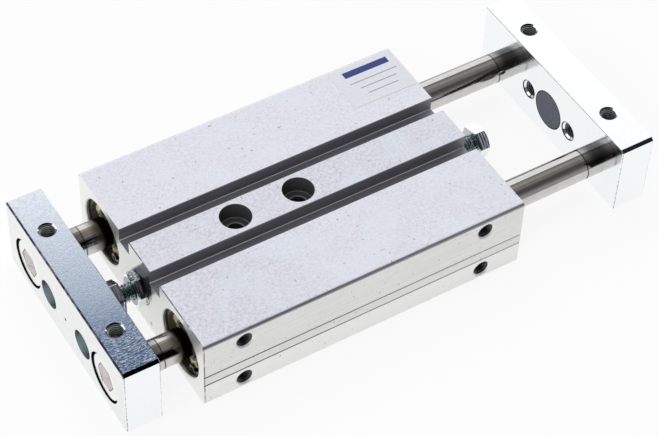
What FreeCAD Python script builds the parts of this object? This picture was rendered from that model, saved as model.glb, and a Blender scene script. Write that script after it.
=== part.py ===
import FreeCAD, Part
import math
import os

# A guided pneumatic cylinder: two through rods in one block, joined by a yoke plate at each end.
# X runs along the rods and +Z is up. The origin is on the block's flat underside, midway between
# the two fixing holes.
# The front yoke, at -X, rests close to the block, and the rear yoke, at +X, stands off by the stroke.
# Left is +Y and right is -Y.

# Block
body_length = 112.0
body_height = 27.0
body_edge_radius = 1.2
bore_axis_height = 13.5
bore_spacing = 50.0
bore_to_side_wall = 14.4
bore_diameter = 20.0

# Sensor grooves along the top, one each side of the middle strip
strip_width = 12.9
groove_width = 6.4
groove_depth = 5.1

# Fine lines along both side walls
side_line_heights = (9.0, 12.8)
side_line_width = 0.5
side_line_depth = 0.3

# Counterbored fixing holes through the middle strip
fixing_hole_diameter = 5.5
fixing_hole_spacing = 22.0
fixing_hole_inset = 33.0
fixing_counterbore_diameter = 10.2
fixing_counterbore_depth = 6.2

# Threaded holes in the right-hand wall: air ports above, fixing threads below
side_thread_diameter = 5.0
side_mouth_diameter = 6.2
side_hole_inset = 13.8
port_height = 22.0
port_nose_clearance = 0.5
side_fixing_height = 4.5
side_fixing_depth = 5.6

# Seats for the end caps
seat_diameter = 22.0
seat_mouth_chamfer = 0.35
ring_groove_inset = 1.4
ring_groove_width = 1.1
ring_groove_depth = 0.5

# Retaining rings
ring_thickness = 1.0
ring_radial_width = 1.7
ring_gap_angle = 34.0
ring_lug_radius = 1.5
ring_lug_hole_diameter = 1.3
ring_floor_clearance = 0.05

# End caps with their guide nose
cap_flange_length = 8.0
cap_nose_diameter = 17.0
cap_seat_clearance = 0.03
cap_edge_chamfer = 0.4
cap_web_length = 0.8
cap_rod_clearance = 0.3

# Static sealing ring in the cap's flange
o_ring_groove_inset = 4.6
o_ring_groove_width = 2.3
o_ring_groove_depth = 1.4
o_ring_side_clearance = 0.15
o_ring_corner = 0.4

# Rod seal and guide bush inside the cap
seal_diameter = 13.2
seal_length = 4.5
seal_lip_length = 0.8
bush_diameter = 12.0
bush_end_inset = 0.4

# Piston rods
rod_diameter = 10.0
rod_end_chamfer = 0.5
rod_line_inset = 5.5
rod_line_width = 0.4
rod_line_depth = 0.15
rod_running_clearance = 0.03
seated_clearance = 0.02

# Pistons
stroke = 25.0
piston_length = 24.0
piston_clearance = 0.06
piston_edge_chamfer = 0.5
piston_seal_inset = 4.5
piston_seal_groove_width = 3.0
piston_seal_groove_depth = 2.2
magnet_groove_width = 4.2
magnet_groove_depth = 2.6
magnet_skin = 0.3
clip_groove_depth = 0.45
clip_thickness = 1.0
clip_side_clearance = 0.05
clip_diameter = 13.0
clip_gap_angle = 70.0
cushion_inner_diameter = 14.2
cushion_outer_diameter = 17.6
cushion_recess = 1.0
cushion_proud = 3.0
cushion_end_gap = 0.05

# Stop screws and their lock nuts
stop_thread_diameter = 6.0
stop_thread_clearance = 0.05
stop_screw_length = 20.0
stop_head_height = 4.0
stop_hex_width = 10.0
stop_exposed_thread = 4.3
stop_turned_out = {"front": -0.3, "rear": 0.3}
stop_hole_spare_depth = 4.0
stop_tip_chamfer = 0.8
lock_nut_height = 3.2
hex_chamfer_slope = 0.577
hex_face_share = 0.95
hex_turn = {"front_nut": -14.0, "front_head": -32.0, "rear_nut": -24.0, "rear_head": -16.0}

# Yoke plates
yoke_thickness = 12.0
bore_to_yoke_end = 13.0
yoke_height = 26.5
yoke_underside = 2.0
yoke_corner_chamfer = 1.0
yoke_edge_chamfer = 0.25
rod_seat_depth = 3.5
yoke_screw_counterbore_diameter = 16.6
yoke_screw_counterbore_depth = 5.0
yoke_screw_hole_diameter = 6.6

# Screws that hold the yokes on the rods
yoke_screw_head_diameter = 15.8
yoke_screw_head_height = 4.6
yoke_screw_head_chamfer = 0.4
yoke_screw_thread_diameter = 6.0
yoke_screw_engagement = 11.0
yoke_screw_hole_spare = 2.0
yoke_screw_socket_width = 8.0
yoke_screw_socket_depth = 2.6

# Threads in the yokes for the load
load_thread_diameter = 5.0
load_face_mouth_diameter = 6.6
load_face_hole_spacing = 22.0
load_face_bore_diameter = 9.6
load_face_bore_depth = 6.5
load_top_mouth_diameter = 5.9
load_top_hole_spacing = 44.0
load_top_hole_depth = 6.2
vent_diameter = 1.1

# Rubber bumpers in the yokes
bumper_diameter = 13.8
bumper_thickness = 3.0
bumper_edge_chamfer = 0.3
stop_head_to_bumper = 1.55

ENDS = {"front": -1, "rear": 1}
SIDES = {"left": 1, "right": -1}

# Sizes and places that follow from the sizes above
body_width = bore_spacing + 2 * bore_to_side_wall
yoke_width = bore_spacing + 2 * bore_to_yoke_end
cap_face_depth = ring_groove_inset + ring_groove_width
seat_depth = cap_face_depth + cap_flange_length
piston_sweep = piston_length + stroke + 2 * (cushion_proud + cushion_end_gap)
cap_nose_length = (body_length - piston_sweep) / 2 - seat_depth
stop_reach = lock_nut_height + stop_exposed_thread + stop_head_height
rest_gap = stop_reach + stop_head_to_bumper
block_front_x = -fixing_hole_inset - fixing_hole_spacing / 2
block_rear_x = block_front_x + body_length
piston_x = (block_front_x + block_rear_x + stroke) / 2


def end_x(end, depth=0.0):
    """X at a depth into the block from one of its end faces; a negative depth is outside it."""
    if end == "front":
        return block_front_x + depth
    return block_rear_x - depth


def yoke_inner_x(end):
    """X of the yoke face that looks at the block, at rest."""
    if end == "front":
        return end_x(end, -rest_gap)
    return end_x(end, -rest_gap - stroke)


def bore_y(side):
    return SIDES[side] * bore_spacing / 2


def vector(x, y, z):
    return FreeCAD.Vector(x, y, z)


def box(x_range, y_range, z_range):
    size = [high - low for low, high in (x_range, y_range, z_range)]
    return Part.makeBox(*size, vector(x_range[0], y_range[0], z_range[0]))


def turned(profile, axis_y=0.0):
    """Solid of revolution about a line along X at the bores' height; profile holds (x, radius)."""
    points = [vector(x, axis_y, bore_axis_height + radius) for x, radius in profile]
    face = Part.Face(Part.makePolygon(points + points[:1]))
    return face.revolve(vector(0, axis_y, bore_axis_height), vector(1, 0, 0), 360)


def turned_at_end(end, profile, axis_y=0.0):
    """As turned, with profile holding (depth into the block from its end face, radius)."""
    return turned([(end_x(end, depth), radius) for depth, radius in profile], axis_y)


def sleeve(start, finish, inner_radius, outer_radius):
    """Profile of a plain ring."""
    return [(start, inner_radius), (start, outer_radius), (finish, outer_radius), (finish, inner_radius)]


def rod_hole(radius, length, x, y, z, direction):
    return Part.makeCylinder(radius, length, vector(x, y, z), direction)


def mouthed_hole(radius, mouth_radius, length, mouth, direction):
    """Round hole whose mouth is opened by a 45 degree chamfer."""
    chamfer = mouth_radius - radius
    hole = Part.makeCylinder(radius, length, mouth, direction)
    cone = Part.makeCone(mouth_radius, radius, chamfer, mouth, direction)
    return hole.fuse(cone)


def hexagon(width, start_x, finish_x, turn, axis_y=0.0):
    """Hexagonal prism along X; at turn 0 it has a flat on top, and it turns from +Z towards -Y."""
    corner_radius = width / math.sqrt(3)
    corners = []
    for index in range(6):
        angle = math.radians(60 * index + 30 + turn)
        corner_y = axis_y - corner_radius * math.sin(angle)
        corner_z = bore_axis_height + corner_radius * math.cos(angle)
        corners.append(vector(start_x, corner_y, corner_z))
    face = Part.Face(Part.makePolygon(corners + corners[:1]))
    return face.extrude(vector(finish_x - start_x, 0, 0))


def chamfered_hexagon(width, start_x, finish_x, turn, both_faces):
    """Hexagon whose corners are turned off at its finish face, and at its start face if asked."""
    corner_radius = width / math.sqrt(3)
    flat_radius = hex_face_share * width / 2
    step = math.copysign((corner_radius - flat_radius) * hex_chamfer_slope, finish_x - start_x)
    profile = [(start_x, 0), (finish_x, 0), (finish_x, flat_radius), (finish_x - step, corner_radius)]
    if both_faces:
        profile += [(start_x + step, corner_radius), (start_x, flat_radius)]
    else:
        profile += [(start_x, corner_radius)]
    return hexagon(width, start_x, finish_x, turn).common(turned(profile))


def block_profile():
    """The block before its bores: rounded long edges, two grooves on top, fine lines on the sides."""
    half_width = body_width / 2
    along = (block_front_x, block_rear_x)
    block = box(along, (-half_width, half_width), (0, body_height))
    long_edges = [edge for edge in block.Edges if abs(edge.tangentAt(0).x) > 0.99]
    block = block.makeFillet(body_edge_radius, long_edges)
    for sign in (-1, 1):
        groove_sides = sorted((sign * strip_width / 2, sign * (strip_width / 2 + groove_width)))
        groove_floor = body_height - groove_depth
        block = block.cut(box(along, groove_sides, (groove_floor, body_height)))
        for height in side_line_heights:
            block = block.cut(side_line(sign, height))
    return block


def side_line(sign, height):
    """Shallow V along one side wall."""
    wall = sign * body_width / 2
    points = [
        vector(block_front_x, wall, height - side_line_width / 2),
        vector(block_front_x, wall, height + side_line_width / 2),
        vector(block_front_x, wall - sign * side_line_depth, height),
    ]
    face = Part.Face(Part.makePolygon(points + points[:1]))
    return face.extrude(vector(body_length, 0, 0))


def bore_cavity(side):
    """One through bore with a cap seat, a ring groove and a chamfered mouth at each end."""
    bore_radius = bore_diameter / 2
    seat_radius = seat_diameter / 2
    groove_radius = seat_radius + ring_groove_depth
    mouth = [
        (0, 0),
        (0, seat_radius + seat_mouth_chamfer),
        (seat_mouth_chamfer, seat_radius),
        (ring_groove_inset, seat_radius),
        (ring_groove_inset, groove_radius),
        (cap_face_depth, groove_radius),
        (cap_face_depth, seat_radius),
        (seat_depth, seat_radius),
        (seat_depth, bore_radius),
    ]
    front = [(end_x("front", depth), radius) for depth, radius in mouth]
    rear = [(end_x("rear", depth), radius) for depth, radius in reversed(mouth)]
    return turned(front + rear, bore_y(side))


def fixing_hole(x):
    """Counterbored hole down through the middle strip."""
    counterbore_floor = body_height - fixing_counterbore_depth
    down = vector(0, 0, -1)
    hole = rod_hole(fixing_hole_diameter / 2, body_height, x, 0, body_height, down)
    counterbore = rod_hole(
        fixing_counterbore_diameter / 2, body_height - counterbore_floor, x, 0, body_height, down
    )
    return hole.fuse(counterbore)


def port_depth():
    """Depth that opens a port into the bore and stops short of the end cap's nose."""
    rise = port_height - side_thread_diameter / 2 - bore_axis_height
    chord = math.sqrt((cap_nose_diameter / 2) ** 2 - rise**2)
    return body_width / 2 - bore_spacing / 2 - chord - port_nose_clearance


def side_holes(end):
    """Air port and fixing thread in the right-hand wall at one end."""
    x = end_x(end, side_hole_inset)
    wall = -body_width / 2
    inward = vector(0, 1, 0)
    radius = side_thread_diameter / 2
    mouth_radius = side_mouth_diameter / 2
    port = mouthed_hole(radius, mouth_radius, port_depth(), vector(x, wall, port_height), inward)
    fixing = mouthed_hole(
        radius, mouth_radius, side_fixing_depth, vector(x, wall, side_fixing_height), inward
    )
    return port.fuse(fixing)


def stop_hole(end):
    """Threaded hole for a stop screw in the end of the middle strip."""
    sign = ENDS[end]
    depth = stop_screw_length - stop_exposed_thread - lock_nut_height + stop_hole_spare_depth
    radius = stop_thread_diameter / 2
    return rod_hole(radius, depth, end_x(end), 0, bore_axis_height, vector(-sign, 0, 0))


def housing():
    block = block_profile()
    for side in SIDES:
        block = block.cut(bore_cavity(side))
    for end in ENDS:
        block = block.cut(side_holes(end))
        block = block.cut(stop_hole(end))
    for sign in (-1, 1):
        block = block.cut(fixing_hole(sign * fixing_hole_spacing / 2))
    return block


def end_cap(end, side):
    """Flange in the seat, nose towards the piston, bored for the rod seal and the guide bush."""
    flange_radius = seat_diameter / 2 - cap_seat_clearance
    nose_radius = cap_nose_diameter / 2
    nose_end = seat_depth + cap_nose_length
    seal_radius = seal_diameter / 2
    bush_radius = bush_diameter / 2
    web_radius = rod_diameter / 2 + cap_rod_clearance
    seal_floor = cap_face_depth + seal_length
    groove_start = cap_face_depth + o_ring_groove_inset
    groove_finish = groove_start + o_ring_groove_width
    groove_radius = flange_radius - o_ring_groove_depth
    profile = [
        (cap_face_depth, seal_radius),
        (cap_face_depth, flange_radius - cap_edge_chamfer),
        (cap_face_depth + cap_edge_chamfer, flange_radius),
        (groove_start, flange_radius),
        (groove_start, groove_radius),
        (groove_finish, groove_radius),
        (groove_finish, flange_radius),
        (seat_depth, flange_radius),
        (seat_depth, nose_radius),
        (nose_end - cap_edge_chamfer, nose_radius),
        (nose_end, nose_radius - cap_edge_chamfer),
        (nose_end, bush_radius),
        (seal_floor + cap_web_length, bush_radius),
        (seal_floor + cap_web_length, web_radius),
        (seal_floor, web_radius),
        (seal_floor, seal_radius),
    ]
    return turned_at_end(end, profile, bore_y(side))


def cap_o_ring(end, side):
    """Squeezed ring between the cap's groove and the seat wall."""
    outer = seat_diameter / 2 - seated_clearance
    inner = seat_diameter / 2 - cap_seat_clearance - o_ring_groove_depth + seated_clearance
    start = cap_face_depth + o_ring_groove_inset + o_ring_side_clearance
    finish = start + o_ring_groove_width - 2 * o_ring_side_clearance
    profile = [
        (start, inner + o_ring_corner),
        (start, outer - o_ring_corner),
        (start + o_ring_corner, outer),
        (finish - o_ring_corner, outer),
        (finish, outer - o_ring_corner),
        (finish, inner + o_ring_corner),
        (finish - o_ring_corner, inner),
        (start + o_ring_corner, inner),
    ]
    return turned_at_end(end, profile, bore_y(side))


def rod_seal(end, side):
    """Seal in the cap's mouth, with a lip that thins towards the rod."""
    outer = seal_diameter / 2 - seated_clearance
    inner = rod_diameter / 2 + rod_running_clearance
    lip_root = (inner + outer) / 2
    finish = cap_face_depth + seal_length
    profile = [
        (cap_face_depth - seal_lip_length, inner),
        (cap_face_depth - seal_lip_length, inner + seal_lip_length / 2),
        (cap_face_depth, lip_root),
        (cap_face_depth, outer),
        (finish, outer),
        (finish, inner),
    ]
    return turned_at_end(end, profile, bore_y(side))


def guide_bush(end, side):
    start = cap_face_depth + seal_length + cap_web_length
    finish = seat_depth + cap_nose_length - bush_end_inset
    inner = rod_diameter / 2 + rod_running_clearance
    outer = bush_diameter / 2 - seated_clearance
    return turned_at_end(end, sleeve(start, finish, inner, outer), bore_y(side))


def open_ring(start_x, finish_x, inner_radius, outer_radius, axis_y, gap_angle):
    """Ring along X with a wedge-shaped gap at its lowest point."""
    ring = turned(sleeve(start_x, finish_x, inner_radius, outer_radius), axis_y)
    reach = 2 * outer_radius
    half_gap = math.radians(gap_angle / 2)
    low_x = min(start_x, finish_x)
    centre = vector(low_x, axis_y, bore_axis_height)
    points = [centre]
    for sign in (-1, 1):
        offset = vector(0, sign * reach * math.sin(half_gap), -reach * math.cos(half_gap))
        points.append(centre + offset)
    wedge = Part.Face(Part.makePolygon(points + points[:1]))
    return ring.cut(wedge.extrude(vector(abs(finish_x - start_x), 0, 0)))


def retaining_ring(end, side):
    """Ring that snaps into the bore's groove, with an eye for pliers each side of its gap."""
    sign = ENDS[end]
    axis_y = bore_y(side)
    outer = seat_diameter / 2 + ring_groove_depth - ring_floor_clearance
    inner = outer - ring_radial_width
    inner_face = end_x(end, cap_face_depth)
    outer_face = inner_face + sign * ring_thickness
    ring = open_ring(inner_face, outer_face, inner, outer, axis_y, ring_gap_angle)
    eye_radius = seat_diameter / 2 - ring_lug_radius - ring_floor_clearance
    outward = vector(sign, 0, 0)
    holes = []
    for turn_sign in (-1, 1):
        turn = math.radians(ring_gap_angle / 2) + math.asin(ring_lug_radius / eye_radius)
        eye_y = axis_y + turn_sign * eye_radius * math.sin(turn)
        eye_z = bore_axis_height - eye_radius * math.cos(turn)
        ring = ring.fuse(rod_hole(ring_lug_radius, ring_thickness, inner_face, eye_y, eye_z, outward))
        hole_radius = ring_lug_hole_diameter / 2
        holes.append(rod_hole(hole_radius, ring_thickness, inner_face, eye_y, eye_z, outward))
    for hole in holes:
        ring = ring.cut(hole)
    return ring.removeSplitter()


def clip_groove_x(side_of_piston):
    """X of the piston face against which a clip bears."""
    return piston_x + side_of_piston * (piston_length / 2 - cushion_recess)


def piston_rod(side):
    """Through rod with grooves for the piston's clips, a fine line near each yoke and end threads."""
    start = yoke_inner_x("front") - rod_seat_depth
    finish = yoke_inner_x("rear") + rod_seat_depth
    radius = rod_diameter / 2
    clip_groove_width = clip_thickness + 2 * clip_side_clearance
    grooves = [
        (yoke_inner_x("front") + rod_line_inset, rod_line_width, rod_line_depth),
        (clip_groove_x(-1) - clip_groove_width / 2, clip_groove_width, clip_groove_depth),
        (clip_groove_x(1) + clip_groove_width / 2, clip_groove_width, clip_groove_depth),
        (yoke_inner_x("rear") - rod_line_inset, rod_line_width, rod_line_depth),
    ]
    profile = [(start, 0), (start, radius - rod_end_chamfer), (start + rod_end_chamfer, radius)]
    for centre, width, depth in grooves:
        low = centre - width / 2
        high = centre + width / 2
        profile += [(low, radius), (low, radius - depth), (high, radius - depth), (high, radius)]
    profile += [(finish - rod_end_chamfer, radius), (finish, radius - rod_end_chamfer), (finish, 0)]
    rod = turned(profile, bore_y(side))
    thread_radius = yoke_screw_thread_diameter / 2
    depth = yoke_screw_engagement + yoke_screw_hole_spare
    for x, inward in ((start, 1), (finish, -1)):
        hole = rod_hole(thread_radius, depth, x, bore_y(side), bore_axis_height, vector(inward, 0, 0))
        rod = rod.cut(hole)
    return rod


def piston(side):
    """Piston body with two seal grooves, a magnet groove and a recess in each face."""
    outer = bore_diameter / 2 - piston_clearance
    inner = rod_diameter / 2 + seated_clearance
    half_length = piston_length / 2
    recess_radius = cushion_outer_diameter / 2 + seated_clearance
    grooves = [
        (piston_seal_inset - half_length, piston_seal_groove_width, piston_seal_groove_depth),
        (0, magnet_groove_width, magnet_groove_depth),
        (half_length - piston_seal_inset, piston_seal_groove_width, piston_seal_groove_depth),
    ]
    profile = [
        (-half_length + cushion_recess, inner),
        (-half_length + cushion_recess, recess_radius),
        (-half_length, recess_radius),
        (-half_length, outer - piston_edge_chamfer),
        (-half_length + piston_edge_chamfer, outer),
    ]
    for centre, width, depth in grooves:
        low = centre - width / 2
        high = centre + width / 2
        profile += [(low, outer), (low, outer - depth), (high, outer - depth), (high, outer)]
    profile += [
        (half_length - piston_edge_chamfer, outer),
        (half_length, outer - piston_edge_chamfer),
        (half_length, recess_radius),
        (half_length - cushion_recess, recess_radius),
        (half_length - cushion_recess, inner),
    ]
    return turned([(piston_x + x, radius) for x, radius in profile], bore_y(side))


def piston_seal(side, end):
    """Lip seal in one of the piston's outer grooves."""
    centre = piston_x + ENDS[end] * (piston_length / 2 - piston_seal_inset)
    half_width = piston_seal_groove_width / 2 - seated_clearance
    inner = bore_diameter / 2 - piston_clearance - piston_seal_groove_depth + seated_clearance
    outer = bore_diameter / 2 - rod_running_clearance
    return turned(sleeve(centre - half_width, centre + half_width, inner, outer), bore_y(side))


def piston_magnet(side):
    half_width = magnet_groove_width / 2 - seated_clearance
    floor = bore_diameter / 2 - piston_clearance - magnet_groove_depth
    outer = bore_diameter / 2 - piston_clearance - magnet_skin
    inner = floor + seated_clearance
    return turned(sleeve(piston_x - half_width, piston_x + half_width, inner, outer), bore_y(side))


def piston_clip(side, end):
    """Open ring in the rod's groove that holds the piston from one face."""
    sign = ENDS[end]
    start = clip_groove_x(sign) + sign * clip_side_clearance
    inner = rod_diameter / 2 - clip_groove_depth + seated_clearance
    return open_ring(
        start, start + sign * clip_thickness, inner, clip_diameter / 2, bore_y(side), clip_gap_angle
    )


def cushion_ring(side, end):
    """Rubber ring that stands proud of one piston face."""
    sign = ENDS[end]
    start = clip_groove_x(sign)
    finish = start + sign * (cushion_recess + cushion_proud)
    inner = cushion_inner_diameter / 2
    outer = cushion_outer_diameter / 2
    return turned(sleeve(start, finish, inner, outer), bore_y(side))


def lock_nut(end):
    """Thin hexagon nut against the block's end face."""
    sign = ENDS[end]
    start = end_x(end)
    finish = end_x(end, -lock_nut_height)
    nut = chamfered_hexagon(stop_hex_width, start, finish, hex_turn[end + "_nut"], True)
    hole_radius = stop_thread_diameter / 2
    return nut.cut(
        rod_hole(hole_radius, lock_nut_height, start, 0, bore_axis_height, vector(sign, 0, 0))
    )


def stop_screw(end):
    """Hexagon-headed screw whose head stops the yoke when it is turned out."""
    sign = ENDS[end]
    reach = stop_reach + stop_turned_out[end]
    head_start = end_x(end, stop_head_height - reach)
    head_finish = end_x(end, -reach)
    head = chamfered_hexagon(stop_hex_width, head_start, head_finish, hex_turn[end + "_head"], False)
    radius = stop_thread_diameter / 2 - stop_thread_clearance
    tip = head_start - sign * stop_screw_length
    profile = [
        (head_start, 0),
        (head_start, radius),
        (tip + sign * stop_tip_chamfer, radius),
        (tip, radius - stop_tip_chamfer),
        (tip, 0),
    ]
    return head.fuse(turned(profile)).removeSplitter()


def yoke_blank(end):
    """Plate with its top right-hand corner taken off at 45 degrees and its outline lightly broken."""
    sign = ENDS[end]
    inner_x = yoke_inner_x(end)
    half_width = yoke_width / 2
    top = yoke_underside + yoke_height
    cut = yoke_corner_chamfer
    outline = [
        (-half_width, yoke_underside),
        (half_width, yoke_underside),
        (half_width, top),
        (-half_width + cut, top),
        (-half_width, top - cut),
    ]
    points = [vector(inner_x, y, z) for y, z in outline]
    face = Part.Face(Part.makePolygon(points + points[:1]))
    plate = face.extrude(vector(sign * yoke_thickness, 0, 0))
    rim = [edge for edge in plate.Edges if abs(edge.tangentAt(0).x) < 0.01]
    return plate.makeChamfer(yoke_edge_chamfer, rim)


def yoke(end):
    """Plate with rod seats, screw counterbores, a bumper recess and the threads for the load."""
    sign = ENDS[end]
    inner_x = yoke_inner_x(end)
    outer_x = inner_x + sign * yoke_thickness
    outward = vector(sign, 0, 0)
    inward = vector(-sign, 0, 0)
    plate = yoke_blank(end)
    cuts = []
    for side in SIDES:
        y = bore_y(side)
        seat_radius = rod_diameter / 2 + seated_clearance
        cuts.append(rod_hole(seat_radius, rod_seat_depth, inner_x, y, bore_axis_height, outward))
        hole_radius = yoke_screw_hole_diameter / 2
        cuts.append(rod_hole(hole_radius, yoke_thickness, inner_x, y, bore_axis_height, outward))
        counterbore_radius = yoke_screw_counterbore_diameter / 2
        counterbore_depth = yoke_screw_counterbore_depth
        cuts.append(
            rod_hole(counterbore_radius, counterbore_depth, outer_x, y, bore_axis_height, inward)
        )
    thread_radius = load_thread_diameter / 2
    face_mouth_radius = load_face_mouth_diameter / 2
    top_mouth_radius = load_top_mouth_diameter / 2
    for row in (-1, 1):
        y = row * load_face_hole_spacing / 2
        mouth = vector(inner_x, y, bore_axis_height)
        cuts.append(mouthed_hole(thread_radius, face_mouth_radius, yoke_thickness, mouth, outward))
        bore_radius = load_face_bore_diameter / 2
        cuts.append(rod_hole(bore_radius, load_face_bore_depth, outer_x, y, bore_axis_height, inward))
        middle_x = inner_x + sign * yoke_thickness / 2
        top_mouth = vector(middle_x, row * load_top_hole_spacing / 2, yoke_underside + yoke_height)
        down = vector(0, 0, -1)
        cuts.append(mouthed_hole(thread_radius, top_mouth_radius, load_top_hole_depth, top_mouth, down))
    recess_radius = bumper_diameter / 2 + seated_clearance
    cuts.append(rod_hole(recess_radius, bumper_thickness, inner_x, 0, bore_axis_height, outward))
    cuts.append(rod_hole(vent_diameter / 2, yoke_thickness, inner_x, 0, bore_axis_height, outward))
    for cut in cuts:
        plate = plate.cut(cut)
    return plate


def yoke_screw(end, side):
    """Flat-headed screw with a hexagon socket, in the yoke's counterbore and the rod's thread."""
    sign = ENDS[end]
    y = bore_y(side)
    outer_x = yoke_inner_x(end) + sign * yoke_thickness
    head_seat = outer_x - sign * yoke_screw_counterbore_depth
    head_top = head_seat + sign * yoke_screw_head_height
    rod_end = yoke_inner_x(end) + sign * rod_seat_depth
    tip = rod_end - sign * yoke_screw_engagement
    head_radius = yoke_screw_head_diameter / 2
    thread_radius = yoke_screw_thread_diameter / 2 - seated_clearance
    chamfer = yoke_screw_head_chamfer
    profile = [
        (head_top, 0),
        (head_top, head_radius - chamfer),
        (head_top - sign * chamfer, head_radius),
        (head_seat, head_radius),
        (head_seat, thread_radius),
        (tip, thread_radius),
        (tip, 0),
    ]
    socket_floor = head_top - sign * yoke_screw_socket_depth
    socket = hexagon(yoke_screw_socket_width, head_top, socket_floor, 0.0, y)
    return turned(profile, y).cut(socket)


def bumper(end):
    """Rubber disc in the yoke's recess, flush with the face that meets the stop screw."""
    sign = ENDS[end]
    face_x = yoke_inner_x(end)
    back_x = face_x + sign * bumper_thickness
    radius = bumper_diameter / 2
    profile = [
        (face_x, 0),
        (face_x, radius - bumper_edge_chamfer),
        (face_x + sign * bumper_edge_chamfer, radius),
        (back_x, radius),
        (back_x, 0),
    ]
    return turned(profile)


def save(name, shape):
    shape.exportStep("parts/%s.step" % name)


def main():
    os.makedirs("parts", exist_ok=True)
    save("housing", housing())
    for end in ENDS:
        for side in SIDES:
            place = "%s_%s" % (end, side)
            save("end_cap_" + place, end_cap(end, side))
            save("cap_o_ring_" + place, cap_o_ring(end, side))
            save("rod_seal_" + place, rod_seal(end, side))
            save("guide_bush_" + place, guide_bush(end, side))
            save("retaining_ring_" + place, retaining_ring(end, side))
            save("piston_seal_" + place, piston_seal(side, end))
            save("piston_clip_" + place, piston_clip(side, end))
            save("cushion_ring_" + place, cushion_ring(side, end))
        save("lock_nut_" + end, lock_nut(end))
        save("stop_screw_" + end, stop_screw(end))
        save("yoke_" + end, yoke(end))
        save("yoke_screws_" + end, Part.makeCompound([yoke_screw(end, side) for side in SIDES]))
        save("bumper_" + end, bumper(end))
    for side in SIDES:
        save("piston_rod_" + side, piston_rod(side))
        save("piston_" + side, piston(side))
        save("piston_magnet_" + side, piston_magnet(side))


main()
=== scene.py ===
import math

import bmesh
import bpy
from mathutils import Matrix, Vector


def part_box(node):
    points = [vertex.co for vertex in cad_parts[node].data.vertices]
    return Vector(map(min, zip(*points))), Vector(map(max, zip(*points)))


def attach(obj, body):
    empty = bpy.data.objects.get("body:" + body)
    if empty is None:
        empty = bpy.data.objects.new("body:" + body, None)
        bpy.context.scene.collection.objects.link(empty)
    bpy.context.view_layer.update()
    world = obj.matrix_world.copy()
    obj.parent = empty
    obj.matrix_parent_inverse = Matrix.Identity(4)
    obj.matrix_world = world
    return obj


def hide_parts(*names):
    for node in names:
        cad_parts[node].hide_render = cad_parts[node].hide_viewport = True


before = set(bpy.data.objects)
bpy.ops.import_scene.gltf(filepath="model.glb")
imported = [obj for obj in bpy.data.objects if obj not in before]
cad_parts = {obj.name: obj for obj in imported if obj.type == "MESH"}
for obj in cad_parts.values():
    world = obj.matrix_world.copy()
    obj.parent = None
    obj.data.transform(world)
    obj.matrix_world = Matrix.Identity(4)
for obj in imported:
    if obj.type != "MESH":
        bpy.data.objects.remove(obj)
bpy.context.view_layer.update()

# Places and sizes are in millimetres, in the frame of the CAD model, and become metres where a
# mesh, lamp or camera is made. X runs along the rods, and the front end is at -X.
MM = 0.001
ENDS = {"front": -1, "rear": 1}
SIDES = {"left": 1, "right": -1}


def box_mm(node):
    """Lowest and highest corner of a CAD node in millimetres."""
    low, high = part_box(node)
    return Vector(low) / MM, Vector(high) / MM


block_low, block_high = box_mm("housing")
block_middle_x = (block_low.x + block_high.x) / 2
block_half_length = (block_high.x - block_low.x) / 2
bore_axis_height = (block_low.z + block_high.z) / 2
yokes = {end: box_mm("yoke_" + end) for end in ENDS}
front_low, front_high = yokes["front"]
rear_low, rear_high = yokes["rear"]

# Sizes shared with the CAD model
BORE_Y = 25.0
BORE_SEAT_RADIUS = 11.0
BLOCK_EDGE_RADIUS = 1.2
STRIP_HALF_WIDTH = 6.45
GROOVE_WIDTH = 6.4
GROOVE_DEPTH = 5.1
SIDE_LINE_HEIGHTS = (9.0, 12.8)
SIDE_LINE_WIDTH = 0.5
FIXING_HOLE_X = 11.0
FIXING_COUNTERBORE_RADIUS = 5.1
FIXING_COUNTERBORE_DEPTH = 6.2
FIXING_HOLE_RADIUS = 2.75
SIDE_HOLE_INSET = 13.8
PORT_HEIGHT = 22.0
SIDE_FIXING_HEIGHT = 4.5
M5_RADIUS = 2.5
M5_PITCH = 0.8
M6_PITCH = 1.0
LOAD_TOP_HALF_SPACING = 22.0
LOAD_FACE_HALF_SPACING = 11.0
LOAD_BORE_RADIUS = 4.8
LOAD_BORE_DEPTH = 6.5
SCREW_SEAT_RADIUS = 8.6
SCREW_HEAD_RADIUS = 7.9
SCREW_SOCKET_WIDTH = 8.0
STOP_HEAD_WIDTH = 10.0
STOP_HEAD_HEIGHT = 4.0

# Camera, solved from the corners of the block and the yokes
CAMERA_PLACE = (-220.379, -373.384, 511.304)
CAMERA_RIGHT = (0.85466219, -0.51842705, 0.02803441)
CAMERA_DOWN = (-0.37288351, -0.65050399, -0.66166642)
CAMERA_FORWARD = (0.36126227, 0.55504771, -0.74927406)
CAMERA_LENS = 117.092
CAMERA_SENSOR = 36.0
CAMERA_CLIP = (0.01, 50.0)


def make_camera():
    data = bpy.data.cameras.new("camera")
    data.sensor_width = CAMERA_SENSOR
    data.lens = CAMERA_LENS
    data.clip_start, data.clip_end = CAMERA_CLIP
    camera = bpy.data.objects.new("camera", data)
    axes = Matrix((CAMERA_RIGHT, CAMERA_DOWN, CAMERA_FORWARD)).transposed()
    axes = axes @ Matrix.Diagonal((1, -1, -1))
    camera.matrix_world = Matrix.Translation(Vector(CAMERA_PLACE) * MM) @ axes.to_4x4()
    bpy.context.scene.collection.objects.link(camera)
    bpy.context.scene.camera = camera


# Shader nodes

def math_method(operation, swapped=False):
    """Method that adds one Math node for a value and, where there is one, a second value."""
    def method(self, *other):
        values = (self, *other)
        return self.shader.node("ShaderNodeMath", values[::-1] if swapped else values, operation=operation)

    return method


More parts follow.
